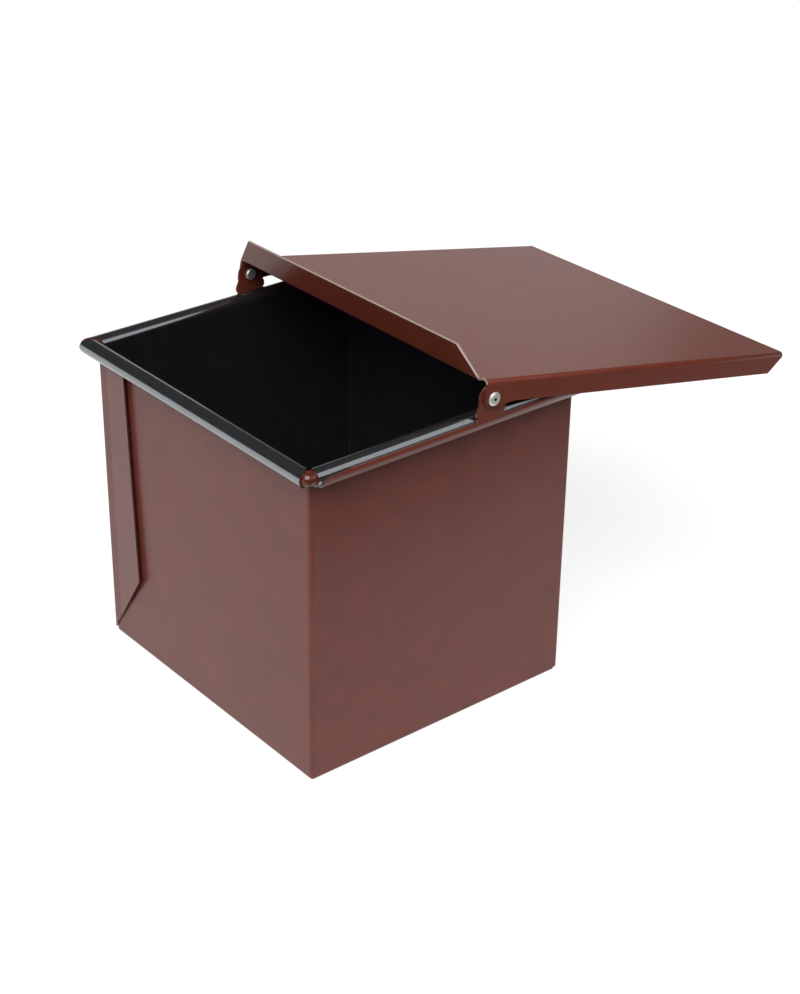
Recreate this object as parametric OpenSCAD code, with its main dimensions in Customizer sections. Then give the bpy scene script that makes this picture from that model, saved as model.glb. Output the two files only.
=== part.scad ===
// Lidded loaf pan of folded sheet: two wall sheets rolled over a rim wire, a floor
// panel, and a lid that swings on two rivets in straps along the rim.
// X runs along the front wall, Y to the back, Z up. The origin is the base's centre.

/* [Pan] */
// Outside of the left wall to outside of the right wall
body_x = 100; // [60:1:200]
// Outside of the front wall to outside of the rear wall
body_y = 109; // [60:1:200]
// Base to the centre of the rim wire
rim_z = 104.2; // [60:0.1:160]
// Thickness of the wall and floor sheet
sheet_t = 0.6; // [0.4:0.05:1]
// Outside radius of the sheet's folds
fold_r = 1.2; // [1.1:0.1:2.5]
// Width of the wall sheet folded in under the floor
base_fold_w = 6.6; // [4:0.1:12]
// Height of the floor panel's upturned edge above the base
floor_edge_h = 8; // [3:0.5:20]

/* [Rim] */
// Diameter of the rim wire
wire_d = 4.2; // [3:0.1:6]
// Angle left open under the curl, next to the wall
curl_open = 50; // [45:1:80]
// How far a side wall's curl runs past the folded corner
side_past = 1.9; // [1:0.1:2.4]
// How far a front or rear wall's curl runs past the folded corner
front_past = 0.2; // [0.1:0.1:0.8]
// Width of the slit between two curls at a corner
corner_slit = 1.6; // [0.8:0.1:3]
// How far a folded corner stands above the wire's centre
corner_rise = 0.8; // [0.2:0.1:1.5]

/* [Seam flap] */
// Width of the flap at its top
flap_w = 15.8; // [10:0.1:20]
// Width of the flap at its knee
knee_w = 19; // [14:0.1:26]
// Height of the knee above the base
knee_z = 28; // [12:1:45]
// Width of the strip that lies flat on the next wall
flap_seat_w = 3.5; // [2:0.5:6]
// How far the flap's free edge stands off the wall
flap_lift = 1.2; // [0.3:0.1:2.5]

/* [Hinge strap] */
// Thickness of the strap
strap_t = 0.6; // [0.4:0.05:1]
// How far the strap's tapered end stops short of the wall's left end
strap_inset = 1.3; // [0.5:0.1:5]
// Length over which the strap's top comes down to that end
strap_taper = 10; // [5:0.5:20]
// How far the strap's top comes down there
strap_drop = 1; // [0.3:0.1:1.5]
// Angle of the rim that the strap covers above its outermost line
strap_over = 15; // [5:1:35]
// Angle of the rim that the strap covers below its outermost line
strap_under = 85; // [45:1:95]
// Width of the ear where it leaves the strap
ear_w = 11.2; // [10.2:0.1:16]
// Radius of the relief at each foot of the ear
ear_relief_r = 0.8; // [0.4:0.1:1.2]

/* [Pivot] */
// Pivot from the middle of the wall, towards the right
pivot_x = 12; // [-10:0.5:25]
// Pivot above the top of the rim
pivot_up = 4.65; // [4.4:0.05:8]
// Diameter of the rivet's shank
rivet_d = 2.5; // [2:0.1:3]
// Diameter of the rivet's head
head_d = 4.3; // [3.6:0.1:5]
// Height of the rivet's head
head_h = 0.6; // [0.4:0.1:1]
// Diameter of the hole in the middle of the head
eye_d = 1; // [0.6:0.1:1.4]
// Diameter of the rivet's set end
tail_d = 3.8; // [3.2:0.1:5]
// Height of the rivet's set end
tail_h = 0.8; // [0.4:0.1:0.9]

/* [Lid] */
// Thickness of the lid sheet
lid_t = 0.7; // [0.4:0.05:1]
// Pivot to the lid's free end
lid_reach = 129.2; // [90:0.1:170]
// Pivot to the fold of the lip
lid_nose = 4.4; // [4.2:0.1:5.2]
// Pivot to the skirt's hinge end
skirt_nose = 3.6; // [3.4:0.1:4]
// Pivot to the lid's top face
lid_rise = 5.7; // [5.5:0.1:7]
// Side skirt's edge below the pivot
skirt_drop = 1.2; // [0.6:0.1:1.6]
// Lobe round the rivet, below the pivot
lobe_drop = 2.7; // [2.5:0.1:3.2]
// Radius of the lobe's rounded corner
lobe_r = 3; // [2:0.1:3.2]
// Where the lobe runs out into the skirt's edge
lobe_run = 8.5; // [5:0.5:12]
// Corner cut at the skirt's free end
skirt_cut = 5.4; // [2:0.1:6]
// Length of the lip folded up at the hinge end
lip_len = 9; // [5:0.5:10]
// Angle from the lid's plate round to the lip
lip_angle = 116; // [100:1:125]
// How much shorter the lip's edge is than its root, at each end
lip_taper = 7.2; // [2:0.1:10]
// Tilt of the open lid where it rests
open_tilt = 11.8; // [6:0.1:16]

/* [Clearance] */
// Between pieces of the pan that are pressed together
seat_gap = 0.05; // [0.02:0.01:0.08]
// Between the lid and the straps beside it
side_gap = 0.3; // [0.2:0.05:0.6]
// Round the rivet in the lid's hole
pivot_gap = 0.08; // [0.04:0.01:0.1]
// Under the rivet's head
head_gap = 0.1; // [0.05:0.05:0.3]
// Between the ear's shoulder and the lid that rests on it
stop_gap = 0.05; // [0.02:0.01:0.1]
// Between the ear and the swinging lid
swing_gap = 0.3; // [0.2:0.05:0.4]

/* [Hidden] */
$fn = 96;

half_x = body_x / 2;
half_y = body_y / 2;
inner_fold_r = fold_r - sheet_t;

// Rim: wire, curl and strap share the wire's centre
wire_r = wire_d / 2;
curl_in_r = wire_r + seat_gap;
curl_out_r = curl_in_r + sheet_t;
wire_out = curl_in_r;
rim_top = rim_z + curl_out_r;
strap_in_r = curl_out_r + seat_gap;
strap_out_r = strap_in_r + strap_t;

// Flap: it starts just under the curl and lies outside the next wall
flap_top = rim_z - curl_out_r - side_gap;
flap_out = seat_gap + sheet_t;

// Stations outward from the middle, across the lid
ear_in_y = half_y + wire_out + strap_in_r;
ear_out_y = ear_in_y + strap_t;
skirt_in_y = ear_out_y + side_gap;
skirt_out_y = skirt_in_y + lid_t;
head_y = skirt_out_y + head_gap;

pivot_z = rim_top + pivot_up;
lid_fold_r = lid_t + inner_fold_r;
lid_under = lid_rise - lid_t;
ear_r = lid_under - swing_gap;
shoulder_w = 4.2;
// Angle round the wire at which the wall leaves its curl
wall_side = 180;
lip_root_y = ear_in_y - tail_h - side_gap;
lip_relief_r = 0.5;
// How far a shape that trims a sheet reaches past it
trim_past = 1;

// The part of a flat ring from one angle round to another
module ring_sector(r_in, r_out, from_a, to_a) {
    intersection() {
        difference() {
            circle(r_out);
            circle(r_in);
        }
        polygon([
            [0, 0],
            for (step = [0:4])
                3 * r_out * [
                    cos(from_a + (to_a - from_a) * step / 4),
                    sin(from_a + (to_a - from_a) * step / 4)
                ]
        ]);
    }
}

// Sections are drawn with the wall's outer face at x = 0, outward along +x
module wall_section() {
    translate([-sheet_t, fold_r])
        square([sheet_t, rim_z - fold_r]);
    translate([-fold_r, fold_r])
        ring_sector(inner_fold_r, fold_r, -90, 0);
    translate([-base_fold_w, 0])
        square([base_fold_w - fold_r, sheet_t]);
}

module curl_section() {
    translate([wire_out, rim_z])
        ring_sector(curl_in_r, curl_out_r, curl_open - wall_side, wall_side);
}

module strap_section() {
    translate([wire_out, rim_z])
        ring_sector(strap_in_r, strap_out_r, -strap_under, strap_over);
}

// Sweeps a section along a wall whose outward side is +X, from one station in Y to another
module run(from_y, to_y) {
    translate([0, to_y, 0])
        rotate([90, 0, 0])
            linear_extrude(to_y - from_y)
                children();
}

// The band of a wall, with its ends mitred at the base
module wall_run(half_len) {
    intersection() {
        run(-half_len + fold_r, half_len - fold_r)
            wall_section();
        union() {
            linear_extrude(fold_r + trim_past)
                polygon([
                    [trim_past, half_len], [trim_past, -half_len],
                    [-base_fold_w, -half_len + base_fold_w + seat_gap],
                    [-base_fold_w, half_len - base_fold_w - seat_gap]
                ]);
            translate([-fold_r, -half_len, fold_r])
                cube([fold_r + trim_past, 2 * half_len, rim_z]);
        }
    }
}

// The curl along a wall, cut square just past the folded corner and mitred at the seam
module curl_run(half_len, past) {
    reach = 2 * curl_out_r;
    slit = corner_slit / sqrt(2);
    intersection() {
        run(-half_len - past, half_len + reach)
            curl_section();
        translate([0, 0, rim_z - reach])
            linear_extrude(2 * reach)
                polygon([
                    [-reach, -half_len + reach + slit], [reach, -half_len - reach + slit],
                    [reach, half_len + reach - slit], [-reach, half_len - reach - slit]
                ]);
    }
}

// The fold between two walls, with its bottom rounded into both
module folded_corner() {
    rotate_extrude(angle = 90) {
        translate([inner_fold_r, fold_r])
            square([sheet_t, rim_z + corner_rise - fold_r]);
        translate([0, fold_r])
            ring_sector(inner_fold_r, fold_r, -90, 0);
    }
}

// Plan of the flap, from the fold's centre: round the corner, along the wall, then off it
module flap_plan() {
    lift_run = knee_w - fold_r - flap_seat_w;
    ring_sector(inner_fold_r, fold_r, -90, 0);
    translate([inner_fold_r, 0])
        square([sheet_t, flap_seat_w]);
    polygon([
        [inner_fold_r, flap_seat_w],
        [fold_r, flap_seat_w],
        [fold_r + flap_lift, flap_seat_w + lift_run],
        [inner_fold_r + flap_lift, flap_seat_w + lift_run]
    ]);
}

// The flap at the wall's right end, folded round onto the outside of the next wall
module seam_flap() {
    intersection() {
        translate([half_x + seat_gap - inner_fold_r, -half_y + fold_r, 0])
            linear_extrude(flap_top)
                flap_plan();
        translate([half_x - fold_r - trim_past, -half_y, 0])
            rotate([90, 0, 90])
                linear_extrude(fold_r + flap_out + flap_lift + 2 * trim_past)
                    polygon([
                        [-trim_past, fold_r], [0, fold_r], [knee_w, knee_z],
                        [flap_w, flap_top], [-trim_past, flap_top]
                    ]);
    }
}

// Left wall, front corner, front wall and flap in one sheet, with their curls
module wall_sheet() {
    mirror([1, 0, 0])
        translate([half_x, 0, 0]) {
            wall_run(half_y);
            curl_run(half_y, side_past);
        }
    rotate([0, 0, -90])
        translate([half_y, 0, 0]) {
            wall_run(half_x);
            curl_run(half_x, front_past);
        }
    translate([-half_x + fold_r, -half_y + fold_r, 0])
        rotate([0, 0, 180])
            folded_corner();
    // The front wall runs on to the fold of its flap
    translate([half_x - fold_r, -half_y, fold_r])
        cube([seat_gap + sheet_t, sheet_t, flap_top - fold_r]);
    seam_flap();
}

module front_wall_sheet() {
    color("#5c342e")
        wall_sheet();
}

module rear_wall_sheet() {
    color("#4f2c27")
        rotate([0, 0, 180])
            wall_sheet();
}

// A box with round upright edges
module round_slab(size_x, size_y, r, h) {
    linear_extrude(h)
        union() {
            square([size_x - 2 * r, size_y], center = true);
            square([size_x, size_y - 2 * r], center = true);
            for (sx = [-1, 1], sy = [-1, 1])
                translate([sx * (size_x / 2 - r), sy * (size_y / 2 - r)])
                    circle(r);
        }
}

// Panel that lies on the folded-in wall edges, sunk level with them in the middle
module floor_panel() {
    out_x = body_x - 2 * sheet_t - 2 * seat_gap;
    out_y = body_y - 2 * sheet_t - 2 * seat_gap;
    sunk_x = body_x - 2 * base_fold_w - 2 * seat_gap;
    sunk_y = body_y - 2 * base_fold_w - 2 * seat_gap;
    round_r = fold_r + seat_gap;
    color("#2b2c2d") {
        difference() {
            translate([0, 0, sheet_t])
                round_slab(out_x, out_y, round_r, floor_edge_h - sheet_t);
            translate([0, 0, 2 * sheet_t])
                round_slab(out_x - 2 * sheet_t, out_y - 2 * sheet_t, inner_fold_r, floor_edge_h);
            round_slab(sunk_x - 2 * sheet_t, sunk_y - 2 * sheet_t, round_r, floor_edge_h);
            // The lower outer edges are eased to lie inside the walls' folds
            for (turn = [0, 180]) {
                rotate([0, 0, turn])
                    translate([out_x / 2, 0, sheet_t])
                        rotate([0, 45, 0])
                            cube([fold_r, body_y, fold_r], center = true);
                rotate([0, 0, turn])
                    translate([0, out_y / 2, sheet_t])
                        rotate([45, 0, 0])
                            cube([body_x, fold_r, fold_r], center = true);
            }
        }
        round_slab(sunk_x, sunk_y, round_r, sheet_t);
    }
}

// Wire bent sharply at the four corners, inside the curls
module rim_wire() {
    wire_x = half_x + wire_out;
    wire_y = half_y + wire_out;
    color("#4a1a14")
        translate([0, 0, rim_z]) {
            for (side = [-1, 1]) {
                translate([side * wire_x, 0, 0])
                    rotate([90, 0, 0])
                        cylinder(h = 2 * wire_y, r = wire_r, center = true);
                translate([0, side * wire_y, 0])
                    rotate([0, 90, 0])
                        cylinder(h = 2 * wire_x, r = wire_r, center = true);
            }
            for (sx = [-1, 1], sy = [-1, 1])
                translate([sx * wire_x, sy * wire_y, 0])
                    sphere(wire_r);
        }
}

// Outline of the ear from the pivot, with a flat shoulder under the resting lid
module ear_outline() {
    foot = rim_z - pivot_z;
    relief_x = ear_w / 2 + ear_relief_r / 3;
    relief_y = foot + strap_out_r * sin(strap_over) + ear_relief_r;
    difference() {
        union() {
            circle(ear_r);
            translate([-ear_r, foot])
                square([2 * ear_r, -foot]);
            polygon([
                [-ear_w / 2, foot], [ear_w / 2, foot],
                [ear_w / 2, foot / 2], [ear_r, foot / 4],
                [-ear_r, foot / 4], [-ear_w / 2, foot / 2]
            ]);
            rotate(-open_tilt)
                square([shoulder_w, lid_under - stop_gap]);
        }
        for (side = [-1, 1])
            translate([side * relief_x, relief_y])
                circle(ear_relief_r);
        circle(d = rivet_d + 2 * seat_gap);
    }
}

// The strap along the wall's curl, its top sloping down to the tapered end
module strap_band() {
    end_y = -half_x + strap_inset;
    top_z = rim_z + strap_out_r * sin(strap_over);
    difference() {
        run(end_y, half_x)
            strap_section();
        rotate([90, 0, 90])
            linear_extrude(wire_out + 2 * strap_out_r)
                polygon([
                    [end_y - strap_taper / 2, top_z - 1.5 * strap_drop],
                    [end_y + 1.5 * strap_taper, top_z + strap_drop / 2],
                    [end_y - strap_taper / 2, top_z + strap_drop / 2]
                ]);
    }
}

// Strap round the outside of the curl, with its ear standing up at the pivot
module hinge_strap() {
    color("#6b2f28") {
        rotate([0, 0, -90])
            translate([half_y, 0, 0])
                strap_band();
        translate([pivot_x, -ear_in_y, pivot_z])
            rotate([90, 0, 0])
                linear_extrude(strap_t)
                    ear_outline();
    }
}

module front_hinge_strap() {
    hinge_strap();
}

module rear_hinge_strap() {
    mirror([0, 1, 0])
        hinge_strap();
}

// Rivet with its head outside the lid's skirt and its set end inside the ear
module rivet() {
    dish = head_h / 2;
    tail_ease = 0.3;
    rotate([90, 0, 0])
        rotate_extrude()
            polygon([
                [0, ear_in_y - tail_h],
                [tail_d / 2 - tail_ease, ear_in_y - tail_h],
                [tail_d / 2, ear_in_y - tail_h + tail_ease],
                [tail_d / 2, ear_in_y],
                [rivet_d / 2, ear_in_y],
                [rivet_d / 2, head_y],
                [head_d / 2, head_y],
                [head_d / 2, head_y + head_h / 3],
                [head_d / 2 - head_h, head_y + head_h],
                [eye_d / 2, head_y + head_h],
                [eye_d / 2, head_y + head_h - dish],
                [0, head_y + head_h - dish]
            ]);
}

module hinge_rivets() {
    color("silver")
        for (side = [0, 1])
            mirror([0, side, 0])
                translate([pivot_x, 0, pivot_z])
                    rivet();
}

// Outline of the lid's skirt from the pivot, up to the start of its fold
module skirt_outline() {
    top = lid_rise - lid_fold_r;
    difference() {
        union() {
            polygon([
                [-skirt_nose, top], [-skirt_nose, -lobe_drop + lobe_r],
                [-skirt_nose + lobe_r, -lobe_drop],
                [lobe_r / 2, -lobe_drop], [lobe_run, -skirt_drop],
                [lid_reach - skirt_cut, -skirt_drop],
                [lid_reach, skirt_cut - skirt_drop], [lid_reach, top]
            ]);
            translate([-skirt_nose + lobe_r, -lobe_drop + lobe_r])
                circle(lobe_r);
        }
        circle(d = rivet_d + 2 * pivot_gap);
    }
}

// One side of the lid: skirt and the fold above it
module lid_side() {
    translate([0, -skirt_in_y, 0])
        rotate([90, 0, 0])
            linear_extrude(lid_t)
                skirt_outline();
    translate([-skirt_nose, -skirt_out_y + lid_fold_r, lid_rise - lid_fold_r])
        rotate([90, 0, 90])
            linear_extrude(skirt_nose + lid_reach)
                ring_sector(inner_fold_r, lid_fold_r, 90, 180);
}

// Section of the lip from the centre of its fold, with a tongue back under the plate
module lip_section() {
    fold_step = (180 - lip_angle) / 8;
    along = [cos(lip_angle), sin(lip_angle)];
    outward = [cos(lip_angle + 90), sin(lip_angle + 90)];
    polygon([
        [lid_nose, -lid_fold_r], [lid_nose, -inner_fold_r],
        for (a = [270:-fold_step:lip_angle + 90])
            inner_fold_r * [cos(a), sin(a)],
        inner_fold_r * outward + lip_len * along,
        lid_fold_r * outward + lip_len * along,
        for (a = [lip_angle + 90:fold_step:270])
            lid_fold_r * [cos(a), sin(a)]
    ]);
}

// Lip along the hinge end, folded up from the plate, with its ends cut back to the edge
module lip() {
    translate([-lid_nose, 0, lid_rise + inner_fold_r])
        difference() {
            rotate([90, 0, 0])
                linear_extrude(2 * lip_root_y, center = true)
                    lip_section();
            for (side = [0, 1])
                mirror([0, side, 0])
                    rotate([0, -lip_angle, 0])
                        linear_extrude(2 * lid_fold_r)
                            polygon([
                                [-lip_len, lip_root_y + lip_taper],
                                [2 * lip_len, lip_root_y - 2 * lip_taper],
                                [2 * lip_len, 2 * lip_root_y],
                                [-lip_len, 2 * lip_root_y]
                            ]);
        }
}

// Lid in its own frame: pivot at the origin, plate along +X
module lid_shape() {
    plate_half_w = skirt_out_y - lid_fold_r;
    lid_side();
    mirror([0, 1, 0])
        lid_side();
    difference() {
        translate([-skirt_nose, -plate_half_w, lid_under])
            cube([skirt_nose + lid_reach, 2 * plate_half_w, lid_t]);
        for (side = [-1, 1])
            translate([-skirt_nose, side * (lip_root_y + lip_relief_r), 0])
                cylinder(r = lip_relief_r, h = 2 * lid_rise);
    }
    lip();
}

module lid() {
    color("#6d3b34")
        translate([pivot_x, 0, pivot_z])
            rotate([0, open_tilt, 0])
                lid_shape();
}

front_wall_sheet();
rear_wall_sheet();
floor_panel();
rim_wire();
front_hinge_strap();
rear_hinge_strap();
hinge_rivets();
lid();
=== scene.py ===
from math import cos, radians, sin
import bpy
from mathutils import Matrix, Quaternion, Vector
from mathutils.bvhtree import BVHTree


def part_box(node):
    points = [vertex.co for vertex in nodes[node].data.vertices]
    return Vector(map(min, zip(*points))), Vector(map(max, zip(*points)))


# Lidded loaf pan of folded, coated steel sheet. Lengths are in metres unless a name says mm.

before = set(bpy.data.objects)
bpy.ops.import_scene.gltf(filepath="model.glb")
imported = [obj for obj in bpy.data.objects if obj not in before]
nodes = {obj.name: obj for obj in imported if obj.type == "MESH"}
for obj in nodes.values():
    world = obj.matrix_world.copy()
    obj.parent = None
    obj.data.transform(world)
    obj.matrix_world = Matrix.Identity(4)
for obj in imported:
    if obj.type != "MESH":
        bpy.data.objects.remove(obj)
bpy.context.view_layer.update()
mm = 0.001


# Small helpers for colours and shader nodes

def linearFromHex(hexColour):
    parts = [int(hexColour[i:i + 2], 16) / 255 for i in (1, 3, 5)]
    linear = [p / 12.92 if p <= 0.04045 else ((p + 0.055) / 1.055) ** 2.4 for p in parts]
    return (*linear, 1.0)


def addNode(tree, kind, settings=None, links=None):
    # settings: attribute or input name to value; links: input name to (node, output name)
    made = tree.nodes.new(kind)
    for name, value in (settings or {}).items():
        if hasattr(made, name):
            setattr(made, name, value)
        else:
            made.inputs[name].default_value = value
    for name, (source, output) in (links or {}).items():
        tree.links.new(source.outputs[output], made.inputs[name])
    return made


def newMaterial(name):
    material = bpy.data.materials.new(name)
    material.use_nodes = True
    material.node_tree.nodes.clear()
    return material, material.node_tree


# How fine each pattern in a coat is, and the stretch of its values that is used
coatPatterns = {
    "patches": {"detail": 1.0, "roughness": 0.4, "low": 0.15, "high": 0.85},
    "specks": {"detail": 1.0, "roughness": 0.5, "low": 0.2, "high": 0.8},
    "peel": {"detail": 2.0, "roughness": 0.5},
}


def coatPattern(tree, place, kind, sizeMm):
    pattern = coatPatterns[kind]
    return addNode(tree, "ShaderNodeTexNoise", {
        "Scale": 1 / (sizeMm * mm), "Detail": pattern["detail"], "Roughness": pattern["roughness"],
    }, {"Vector": (place, "Object")})


def coatedSheetMaterial(name, look):
    # A baked coating: an even skin with patches and specks in it, over a faint orange peel
    material, tree = newMaterial(name)
    place = addNode(tree, "ShaderNodeTexCoord")
    patches = coatPattern(tree, place, "patches", look["patchMm"])
    specks = coatPattern(tree, place, "specks", look["speckMm"])
    peel = coatPattern(tree, place, "peel", look["peelMm"])
    patchRange = coatPatterns["patches"]
    speckRange = coatPatterns["specks"]
    patchTint = addNode(tree, "ShaderNodeValToRGB", {}, {"Fac": (patches, "Fac")})
    dark, light = patchTint.color_ramp.elements
    dark.position = patchRange["low"]
    dark.color = linearFromHex(look["darkHex"])
    light.position = patchRange["high"]
    light.color = linearFromHex(look["lightHex"])
    speckMask = addNode(tree, "ShaderNodeMapRange", {
        "From Min": speckRange["low"], "From Max": speckRange["high"],
        "To Min": 0.0, "To Max": look["speckAmount"],
    }, {"Value": (specks, "Fac")})
    tint = addNode(tree, "ShaderNodeMix", {"data_type": "RGBA"})
    tree.links.new(speckMask.outputs["Result"], tint.inputs["Factor"])
    tree.links.new(patchTint.outputs["Color"], tint.inputs["A"])
    tint.inputs["B"].default_value = linearFromHex(look["speckHex"])
    gloss = addNode(tree, "ShaderNodeMapRange", {
        "From Min": patchRange["low"], "From Max": patchRange["high"],
        "To Min": look["roughness"] - look["roughnessSpread"],
        "To Max": look["roughness"] + look["roughnessSpread"],
    }, {"Value": (patches, "Fac")})
    relief = addNode(tree, "ShaderNodeBump", {
        "Strength": look["peelStrength"], "Distance": look["peelHeightMm"] * mm,
    }, {"Height": (peel, "Fac")})
    skin = addNode(tree, "ShaderNodeBsdfPrincipled", {
        "IOR": look["ior"], "Metallic": look.get("metallic", 0.0),
    }, {
        "Base Color": (tint, "Result"), "Roughness": (gloss, "Result"),
        "Normal": (relief, "Normal"),
    })
    addNode(tree, "ShaderNodeOutputMaterial", {}, {"Surface": (skin, "BSDF")})
    return material


steelMarks = {"detail": 3.0, "roughness": 0.6, "strength": 0.3}


def steelMaterial(name, look):
    # Bare steel with the fine marks of the shear or the press
    material, tree = newMaterial(name)
    place = addNode(tree, "ShaderNodeTexCoord")
    stretch = addNode(tree, "ShaderNodeMapping", {"Scale": look["stretch"]},
                      {"Vector": (place, "Object")})
    marks = addNode(tree, "ShaderNodeTexNoise", {
        "Scale": 1 / (look["markMm"] * mm),
        "Detail": steelMarks["detail"], "Roughness": steelMarks["roughness"],
    }, {"Vector": (stretch, "Vector")})
    tint = addNode(tree, "ShaderNodeMix", {"data_type": "RGBA"})
    tree.links.new(marks.outputs["Fac"], tint.inputs["Factor"])
    tint.inputs["A"].default_value = linearFromHex(look["darkHex"])
    tint.inputs["B"].default_value = linearFromHex(look["lightHex"])
    gloss = addNode(tree, "ShaderNodeMapRange", {
        "To Min": look["roughness"] - look["roughnessSpread"],
        "To Max": look["roughness"] + look["roughnessSpread"],
    }, {"Value": (marks, "Fac")})
    relief = addNode(tree, "ShaderNodeBump", {
        "Strength": steelMarks["strength"], "Distance": look["markDepthMm"] * mm,
    }, {"Height": (marks, "Fac")})
    skin = addNode(tree, "ShaderNodeBsdfPrincipled", {"Metallic": look["metallic"]}, {
        "Base Color": (tint, "Result"), "Roughness": (gloss, "Result"),
        "Normal": (relief, "Normal"),
    })
    addNode(tree, "ShaderNodeOutputMaterial", {}, {"Surface": (skin, "BSDF")})
    return material


# Maroon silicone-polyester coating, coil-coated and satin
maroonCoating = coatedSheetMaterial("MaroonSiliconePolyester", {
    "darkHex": "#562820", "lightHex": "#673027", "speckHex": "#74423A", "speckAmount": 0.3,
    "patchMm": 9.0, "speckMm": 0.5, "peelMm": 1.6,
    "roughness": 0.3, "roughnessSpread": 0.02, "ior": 1.38,
    "peelStrength": 0.06, "peelHeightMm": 0.02,
})
# The same coat on the lid, a little redder and with more orange peel
lidCoating = coatedSheetMaterial("MaroonSiliconePolyesterLid", {
    "darkHex": "#5C281B", "lightHex": "#642B1F", "speckHex": "#7A4437", "speckAmount": 0.25,
    "patchMm": 9.0, "speckMm": 0.5, "peelMm": 1.6,
    "roughness": 0.3, "roughnessSpread": 0.02, "ior": 1.34,
    "peelStrength": 0.2, "peelHeightMm": 0.02,
})
# The same coat on the straps, from a redder batch
strapCoating = coatedSheetMaterial("RedBrownSiliconePolyester", {
    "darkHex": "#5A2618", "lightHex": "#642A1B", "speckHex": "#764236", "speckAmount": 0.2,
    "patchMm": 5.0, "speckMm": 0.5, "peelMm": 1.6,
    "roughness": 0.3, "roughnessSpread": 0.02, "ior": 1.5,
    "peelStrength": 0.15, "peelHeightMm": 0.02,
})
# Drawn wire dipped in the same coat, which pools smooth and glossy on it
wireCoating = coatedSheetMaterial("MaroonEnamelDipped", {
    "darkHex": "#481A11", "lightHex": "#501D14", "speckHex": "#6B2E22", "speckAmount": 0.1,
    "patchMm": 3.0, "speckMm": 0.6, "peelMm": 1.2,
    "roughness": 0.22, "roughnessSpread": 0.02, "ior": 1.55,
    "peelStrength": 0.1, "peelHeightMm": 0.01,
})
# Black fluoropolymer with mica flakes, sprayed and baked: black where the room is dark, and
# it mirrors the white floor as a crisp silver line
nonStick = coatedSheetMaterial("BlackFluoropolymerMicaSprayed", {
    "darkHex": "#7C7F82", "lightHex": "#85888B", "speckHex": "#A2A6A9", "speckAmount": 0.25,
    "patchMm": 6.0, "speckMm": 0.6, "peelMm": 1.0, "metallic": 0.97,
    "roughness": 0.17, "roughnessSpread": 0.03, "ior": 1.5,
    "peelStrength": 0.15, "peelHeightMm": 0.01,
})
# The maroon coat drawn thin and glossy over an edge that was cut before the coating
coatedEdge = coatedSheetMaterial("MaroonSiliconePolyesterEdge", {
    "darkHex": "#3A1510", "lightHex": "#4A1D16", "speckHex": "#6E4A42", "speckAmount": 0.3,
    "patchMm": 2.0, "speckMm": 0.5, "peelMm": 1.0,
    "roughness": 0.2, "roughnessSpread": 0.04, "ior": 1.6,
    "peelStrength": 0.15, "peelHeightMm": 0.01,
})
# Carbon steel where the sheet was sheared: pale, matt, with fine drag lines
shearedEdge = steelMaterial("CarbonSteelSheared", {
    "darkHex": "#85756D", "lightHex": "#B3A49C", "stretch": (1.0, 1.0, 6.0),
    "markMm": 0.5, "roughness": 0.5, "roughnessSpread": 0.06,
    "markDepthMm": 0.01, "metallic": 0.3,
})
# Stainless rivet, cold headed: bright, with soft press marks
rivetSteel = steelMaterial("StainlessSteelColdHeaded", {
    "darkHex": "#CDCBC7", "lightHex": "#F0EEEA", "stretch": (1.0, 1.0, 1.0),
    "markMm": 1.2, "roughness": 0.55, "roughnessSpread": 0.05,
    "markDepthMm": 0.008, "metallic": 1.0,
})
# The same steel in the head's recess, painted dark as the shade that falls in the recess
rivetRecessPaintedShade = steelMaterial("StainlessSteelRecessPaintedShade", {
    "darkHex": "#1A1715", "lightHex": "#2C2826", "stretch": (1.0, 1.0, 1.0),
    "markMm": 0.4, "roughness": 0.4, "roughnessSpread": 0.05,
    "markDepthMm": 0.005, "metallic": 0.6,
})
print("materials made")


# Which coat each face of the sheet carries

wireLow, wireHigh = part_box("rim_wire")
rim = {
    "wireRadius": (wireHigh.z - wireLow.z) / 2,
    "height": (wireHigh.z + wireLow.z) / 2,
    "sheetMm": 0.6,
    "lidSheetMm": 0.7,
    "seatGapMm": 0.05,
}
rim["x"] = wireHigh.x - rim["wireRadius"]
rim["y"] = wireHigh.y - rim["wireRadius"]
# Halfway through the sheet that is curled round the wire
rim["curlMiddle"] = rim["wireRadius"] + (rim["seatGapMm"] + rim["sheetMm"] / 2) * mm

cutEdge = {"nudgeMm": 0.01, "sheetsBehind": 1.5}
innerSide = {"curlReachMm": 0.4, "mostOutward": 0.05, "mostDownward": -0.5}


def isCutEdge(tree, centre, normal, sheetMm):
    # Behind a cut edge lies a long run of sheet, behind a coated face only its thickness
    nudge = cutEdge["nudgeMm"] * mm
    depth = tree.ray_cast(centre - normal * nudge, -normal)[3]
    return depth is None or depth > cutEdge["sheetsBehind"] * sheetMm * mm


def isInnerSide(centre, normal):
    # The rim rolls the sheet's inner side outwards over the wire
    fromWire = min(
        Vector((abs(centre.x) - rim["x"], centre.z - rim["height"])).length,
        Vector((abs(centre.y) - rim["y"], centre.z - rim["height"])).length,
    )
    if fromWire < rim["curlMiddle"] + innerSide["curlReachMm"] * mm:
        return fromWire > rim["curlMiddle"]
    outward = Vector((centre.x, centre.y, 0)).normalized()
    return normal.dot(outward) < innerSide["mostOutward"] and normal.z > innerSide["mostDownward"]


def dressFaces(name, materials, pick):
    mesh = nodes[name].data
    mesh.materials.clear()
    for material in materials:
        mesh.materials.append(material)
    tree = BVHTree.FromPolygons([v.co for v in mesh.vertices],
                                [p.vertices[:] for p in mesh.polygons])
    for face in mesh.polygons:
        face.material_index = pick(tree, face.center, face.normal)


def pickWall(tree, centre, normal):
    if isCutEdge(tree, centre, normal, rim["sheetMm"]):
        return 2
    return 1 if isInnerSide(centre, normal) else 0


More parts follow.
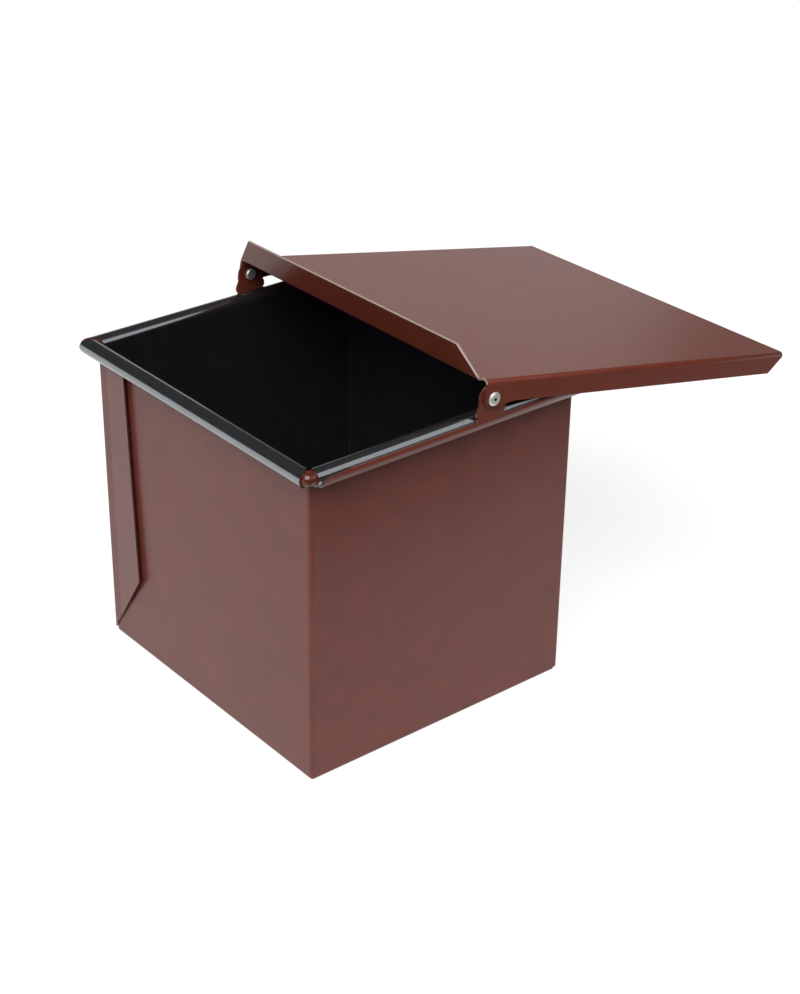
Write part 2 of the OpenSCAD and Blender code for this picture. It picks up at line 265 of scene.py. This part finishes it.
def pickLid(tree, centre, normal):
    # The lip's ends and the plate's corners were trimmed bare after the coating
    if not isCutEdge(tree, centre, normal, rim["lidSheetMm"]):
        return 0
    return 2 if centre.z > rivet["z"] + rivet["bareAboveMm"] * mm and centre.x < rivet["x"] else 1


def pickStrap(tree, centre, normal):
    return 1 if isCutEdge(tree, centre, normal, rim["sheetMm"]) else 0


rivetLow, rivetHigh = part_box("hinge_rivets")
rivet = {
    "x": (rivetLow.x + rivetHigh.x) / 2,
    "z": (rivetLow.z + rivetHigh.z) / 2,
    "recessMm": 0.55,
    "headMm": 0.5,
    "bareAboveMm": 4.0,
}
rivet["headY"] = rivetHigh.y - rivet["headMm"] * mm


def pickRivet(tree, centre, normal):
    fromAxis = Vector((centre.x - rivet["x"], centre.z - rivet["z"])).length
    # Faces in the head's recess take the steel with painted shade
    return 1 if abs(centre.y) > rivet["headY"] and fromAxis < rivet["recessMm"] * mm else 0


def pickOnly(tree, centre, normal):
    return 0


for name in ("front_wall_sheet", "rear_wall_sheet"):
    dressFaces(name, [maroonCoating, nonStick, coatedEdge], pickWall)
for name in ("front_hinge_strap", "rear_hinge_strap"):
    dressFaces(name, [strapCoating, coatedEdge], pickStrap)
dressFaces("lid", [lidCoating, coatedEdge, shearedEdge], pickLid)
dressFaces("hinge_rivets", [rivetSteel, rivetRecessPaintedShade], pickRivet)
dressFaces("floor_panel", [nonStick], pickOnly)
dressFaces("rim_wire", [wireCoating], pickOnly)
print("faces dressed")


# Rolled-over edges, as a press leaves them

edgeRound = {
    "weldMm": 0.001, "widthMm": 0.12, "segments": 2, "angle": 35,
    "welded": ("floor_panel", "front_hinge_strap", "rear_hinge_strap", "hinge_rivets", "lid"),
    "asTheyAre": ("rim_wire",),
}


def roundEdges(node):
    bevel = node.modifiers.new("pressedEdge", "BEVEL")
    bevel.width = edgeRound["widthMm"] * mm
    bevel.segments = edgeRound["segments"]
    bevel.limit_method = "ANGLE"
    bevel.angle_limit = radians(edgeRound["angle"])
    bevel.harden_normals = True


for name in edgeRound["welded"]:
    # The frame's faces come apart at their edges, and a weld joins them for the bevel
    weld = nodes[name].modifiers.new("joinedFaces", "WELD")
    weld.merge_threshold = edgeRound["weldMm"] * mm
    roundEdges(nodes[name])
for name in edgeRound["asTheyAre"]:
    roundEdges(nodes[name])
print("edges rounded")


# Camera at the photograph's viewing angle

view = {
    "azimuth": -37.96, "elevation": 28.68, "distance": 0.64532,
    "target": Vector((0.00372, -0.00087, 0.05292)),
    "focalPixels": 2011.85, "longSidePixels": 994, "sensorMm": 36.0,
    "axisRightPixels": 56.93, "axisDownPixels": 9.79, "nearest": 0.01, "farthest": 400.0,
}


def makeCamera():
    data = bpy.data.cameras.new("camera")
    camera = bpy.data.objects.new("camera", data)
    bpy.context.scene.collection.objects.link(camera)
    azimuth = radians(view["azimuth"])
    elevation = radians(view["elevation"])
    level = cos(elevation)
    back = Vector((sin(azimuth) * level, -cos(azimuth) * level, sin(elevation)))
    camera.location = view["target"] + back * view["distance"]
    camera.rotation_mode = "QUATERNION"
    camera.rotation_quaternion = (-back).to_track_quat("-Z", "Y")
    data.sensor_width = view["sensorMm"]
    data.lens = view["focalPixels"] * view["sensorMm"] / view["longSidePixels"]
    data.shift_x = view["axisRightPixels"] / view["longSidePixels"]
    data.shift_y = view["axisDownPixels"] / view["longSidePixels"]
    data.clip_start = view["nearest"]
    data.clip_end = view["farthest"]
    bpy.context.scene.camera = camera


makeCamera()


# White paper floor, a dark felt flag in front, dim room and soft boxes

table = {"reach": 200.0, "colour": "#DADAD9", "shadowShare": 0.35, "fill": 0.82}
flag = {"reach": 200.0, "backY": -0.17, "liftMm": 1.0, "colour": "#4A4846"}


def makePlane(name, fromY, toY, reach, height, material):
    mesh = bpy.data.meshes.new(name)
    mesh.from_pydata([(-reach, fromY, height), (reach, fromY, height),
                      (reach, toY, height), (-reach, toY, height)], [], [(0, 1, 2, 3)])
    mesh.materials.append(material)
    plane = bpy.data.objects.new(name, mesh)
    bpy.context.scene.collection.objects.link(plane)
    return plane


def paperMaterial():
    # White paper: it shows white and keeps the pan's shadow
    material, tree = newMaterial("WhitePaperRolled")
    paper = addNode(tree, "ShaderNodeBsdfDiffuse", {"Color": linearFromHex(table["colour"])})
    path = addNode(tree, "ShaderNodeLightPath")
    cameraOrGlossy = addNode(tree, "ShaderNodeMath", {"operation": "MAXIMUM"})
    tree.links.new(path.outputs["Is Camera Ray"], cameraOrGlossy.inputs[0])
    tree.links.new(path.outputs["Is Glossy Ray"], cameraOrGlossy.inputs[1])
    seen = addNode(tree, "ShaderNodeMath", {"operation": "MAXIMUM"})
    tree.links.new(cameraOrGlossy.outputs[0], seen.inputs[0])
    tree.links.new(path.outputs["Is Transmission Ray"], seen.inputs[1])
    white = addNode(tree, "ShaderNodeEmission", {"Strength": table["fill"]})
    shown = addNode(tree, "ShaderNodeAddShader")
    shadow = addNode(tree, "ShaderNodeMixShader", {"Fac": 1 - table["shadowShare"]})
    tree.links.new(paper.outputs["BSDF"], shadow.inputs[1])
    tree.links.new(shadow.outputs["Shader"], shown.inputs[0])
    tree.links.new(white.outputs["Emission"], shown.inputs[1])
    mix = addNode(tree, "ShaderNodeMixShader", {}, {"Fac": (seen, "Value")})
    tree.links.new(paper.outputs["BSDF"], mix.inputs[1])
    tree.links.new(shown.outputs["Shader"], mix.inputs[2])
    addNode(tree, "ShaderNodeOutputMaterial", {}, {"Surface": (mix, "Shader")})
    return material


def feltMaterial():
    # Charcoal felt: the coat, the straps and the skirts mirror it as their dark parts
    material, tree = newMaterial("CharcoalFeltPressed")
    felt = addNode(tree, "ShaderNodeBsdfDiffuse", {"Color": linearFromHex(flag["colour"])})
    addNode(tree, "ShaderNodeOutputMaterial", {}, {"Surface": (felt, "BSDF")})
    return material


makePlane("floor", -table["reach"], table["reach"], table["reach"], 0, paperMaterial())
# The flag is seen in reflections only: the views look past it at the floor
feltFlag = makePlane("feltFlag", -flag["reach"], flag["backY"], flag["reach"],
                     flag["liftMm"] * mm, feltMaterial())
feltFlag.visible_camera = False
feltFlag.visible_shadow = False

room = {"colour": "#FFFFFF", "strength": 0.06}
world = bpy.data.worlds.new("room")
world.use_nodes = True
surround = world.node_tree.nodes["Background"]
surround.inputs["Color"].default_value = linearFromHex(room["colour"])
surround.inputs["Strength"].default_value = room["strength"]
bpy.context.scene.world = world

# Each box: where it stands, its width and height, its roll about its aim in degrees, and its
# power. All of them aim at one point in the pan
lampAim = Vector((0, 0, 0.06))
softBoxes = {
    "boxByCamera": {"at": (-0.76, -0.65, 1.62), "width": 2.4, "height": 1.8, "roll": 0,
                    "watts": 72.0},
    "boxOverRight": {"at": (0.54, -0.72, 0.63), "width": 0.77, "height": 0.36, "roll": 68,
                     "watts": 0.95},
    "panelBehind": {"at": (0.78, 1.04, 0.32), "width": 0.9, "height": 0.55, "roll": 0,
                    "watts": 0.85},
}


def makeSoftBoxes():
    for name, box in softBoxes.items():
        data = bpy.data.lights.new(name, "AREA")
        data.shape = "RECTANGLE"
        data.size = box["width"]
        data.size_y = box["height"]
        data.energy = box["watts"]
        lamp = bpy.data.objects.new(name, data)
        bpy.context.scene.collection.objects.link(lamp)
        lamp.location = box["at"]
        aim = lampAim - lamp.location
        lamp.rotation_mode = "QUATERNION"
        roll = Quaternion((0, 0, 1), radians(box["roll"]))
        lamp.rotation_quaternion = aim.to_track_quat("-Z", "Y") @ roll


makeSoftBoxes()
bpy.context.scene.view_settings.view_transform = "Standard"
print("camera, floor and lights made")
